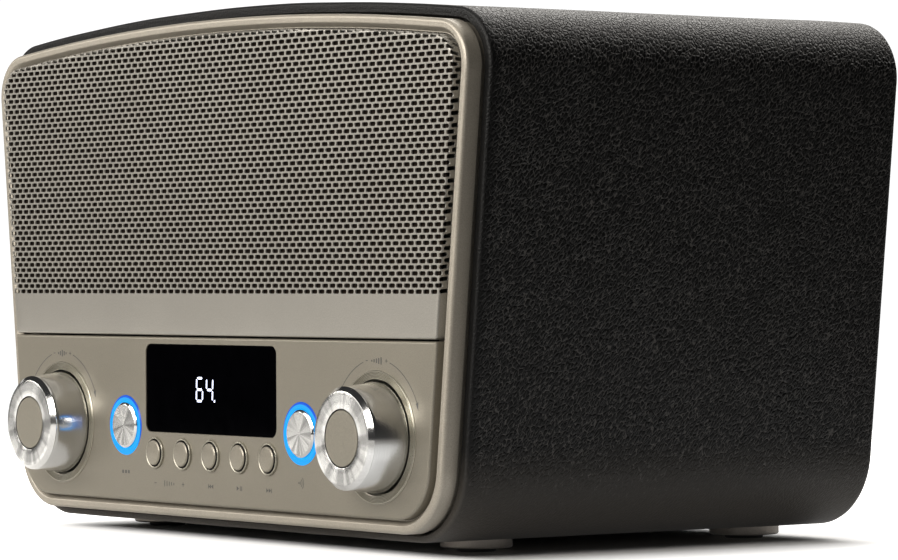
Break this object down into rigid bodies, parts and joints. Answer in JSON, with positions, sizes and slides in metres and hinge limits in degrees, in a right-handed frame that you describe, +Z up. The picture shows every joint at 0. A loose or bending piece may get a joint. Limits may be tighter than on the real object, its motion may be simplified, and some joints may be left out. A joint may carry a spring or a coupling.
{
  "type": "table radio",
  "caption": "Leather-covered table radio with an arched top, leaning sides, perforated grille, two turned knobs, lit buttons, a display window and a folding rod aerial.",
  "frame": {"origin": "centre of the radio's box in X and Y, on the table under the rubber pads", "axes": "+X along the front from left to right, +Y from the front to the back, +Z up"},
  "size_m": [0.3454, 0.2332, 0.2098],
  "materials": {
    "leather": "satin",
    "cabinet": "matt",
    "champagne": "satin",
    "champagne_plate": "satin",
    "aluminium": "polished",
    "button_metal": "satin",
    "key_paint": "satin",
    "black_plastic": "matt",
    "window": "gloss",
    "light_guide": "translucent",
    "rubber": "matt",
    "steel": "satin",
    "black_screw": "satin",
    "brass": "satin",
    "board": "satin",
    "cloth": "matt",
    "cone": "matt",
    "ferrite": "matt",
    "copper": "satin",
    "chrome": "polished",
    "baffle": "matt"
  },
  "bodies": {
    "cabinet": {"cabinet_shell": "cabinet", "leather_wrap": "leather", "feet": "black_plastic", "foot_pads": "rubber", "front_frame": "champagne", "grille_plate": "champagne", "grille_cloth": "cloth", "control_plate": "champagne_plate", "baffle_board": "baffle", "display_lens": "window", "display_module": "black_plastic", "knob_rings": "champagne", "encoder_bodies": "steel", "encoder_nuts": "steel", "glow_rings": "light_guide", "key_rims": "champagne", "tact_switches": "black_plastic", "control_board": "board", "board_spacers": "brass", "inner_screws": "steel", "speaker_baskets": "black_screw", "speaker_magnets": "ferrite", "speaker_cones": "cone", "speaker_surrounds": "rubber", "speaker_dust_caps": "cone", "transformer_core": "steel", "transformer_coil": "copper", "main_board": "board", "heat_sink": "aluminium", "capacitors": "black_plastic", "rear_panel": "black_plastic", "rear_screws": "black_screw", "bass_port": "black_plastic", "mains_inlet": "black_plastic", "switch_housing": "black_plastic", "audio_jack": "black_plastic", "usb_socket": "steel", "antenna_base": "black_plastic"},
    "bass_knob": {"bass_knob_shell": "aluminium", "bass_knob_face": "aluminium", "bass_knob_inlay": "champagne", "bass_knob_core": "black_plastic"},
    "volume_knob": {"volume_knob_shell": "aluminium", "volume_knob_face": "aluminium", "volume_knob_inlay": "champagne", "volume_knob_core": "black_plastic"},
    "mode_button": {"mode_button": "button_metal"},
    "wireless_button": {"wireless_button": "button_metal"},
    "power_rocker": {"power_rocker": "black_plastic"},
    "antenna_swivel": {"antenna_swivel": "chrome"},
    "antenna_rod": {"antenna_rod": "chrome"},
    "antenna_stage_2": {"antenna_stage_2": "chrome"},
    "antenna_stage_3": {"antenna_stage_3": "chrome"},
    "antenna_stage_4": {"antenna_stage_4": "chrome"},
    "tone_down_button": {"tone_down_button": "key_paint"},
    "tone_up_button": {"tone_up_button": "key_paint"},
    "previous_button": {"previous_button": "key_paint"},
    "play_button": {"play_button": "key_paint"},
    "next_button": {"next_button": "key_paint"}
  },
  "joints": [
    {"name": "bass_knob_turn", "type": "hinge", "parent": "cabinet", "child": "bass_knob", "pos_m": [-0.1136, -0.1004, 0.0442], "axis": [0, 1, 0], "continuous": true},
    {"name": "volume_knob_turn", "type": "hinge", "parent": "cabinet", "child": "volume_knob", "pos_m": [0.1136, -0.1004, 0.0442], "axis": [0, 1, 0], "continuous": true},
    {"name": "mode_button_press", "type": "slide", "parent": "cabinet", "child": "mode_button", "axis": [0, 1, 0], "range_m": [0, 0.0009], "stiffness_N_per_m": 800},
    {"name": "tone_down_button_press", "type": "slide", "parent": "cabinet", "child": "tone_down_button", "axis": [0, 1, 0], "range_m": [0, 0.0009], "stiffness_N_per_m": 800},
    {"name": "tone_up_button_press", "type": "slide", "parent": "cabinet", "child": "tone_up_button", "axis": [0, 1, 0], "range_m": [0, 0.0009], "stiffness_N_per_m": 800},
    {"name": "previous_button_press", "type": "slide", "parent": "cabinet", "child": "previous_button", "axis": [0, 1, 0], "range_m": [0, 0.0009], "stiffness_N_per_m": 800},
    {"name": "play_button_press", "type": "slide", "parent": "cabinet", "child": "play_button", "axis": [0, 1, 0], "range_m": [0, 0.0009], "stiffness_N_per_m": 800},
    {"name": "next_button_press", "type": "slide", "parent": "cabinet", "child": "next_button", "axis": [0, 1, 0], "range_m": [0, 0.0009], "stiffness_N_per_m": 800},
    {"name": "wireless_button_press", "type": "slide", "parent": "cabinet", "child": "wireless_button", "axis": [0, 1, 0], "range_m": [0, 0.0009], "stiffness_N_per_m": 800},
    {"name": "power_rocker_tilt", "type": "hinge", "parent": "cabinet", "child": "power_rocker", "pos_m": [-0.082, 0.1029, 0.04], "axis": [1, 0, 0], "range_deg": [0, 16]},
    {"name": "antenna_swivel_turn", "type": "hinge", "parent": "cabinet", "child": "antenna_swivel", "pos_m": [0.128, 0.1064, 0.178], "axis": [0, 1, 0], "range_deg": [0, 180]},
    {"name": "antenna_elbow_fold", "type": "hinge", "parent": "antenna_swivel", "child": "antenna_rod", "pos_m": [0.128, 0.1129, 0.178], "axis": [0, 0, -1], "range_deg": [0, 90]},
    {"name": "antenna_stage_2_pull", "type": "slide", "parent": "antenna_rod", "child": "antenna_stage_2", "axis": [-1, 0, 0], "range_m": [0, 0.115]},
    {"name": "antenna_stage_3_pull", "type": "slide", "parent": "antenna_stage_2", "child": "antenna_stage_3", "axis": [-1, 0, 0], "range_m": [0, 0.115]},
    {"name": "antenna_stage_4_pull", "type": "slide", "parent": "antenna_stage_3", "child": "antenna_stage_4", "axis": [-1, 0, 0], "range_m": [0, 0.115]}
  ]
}
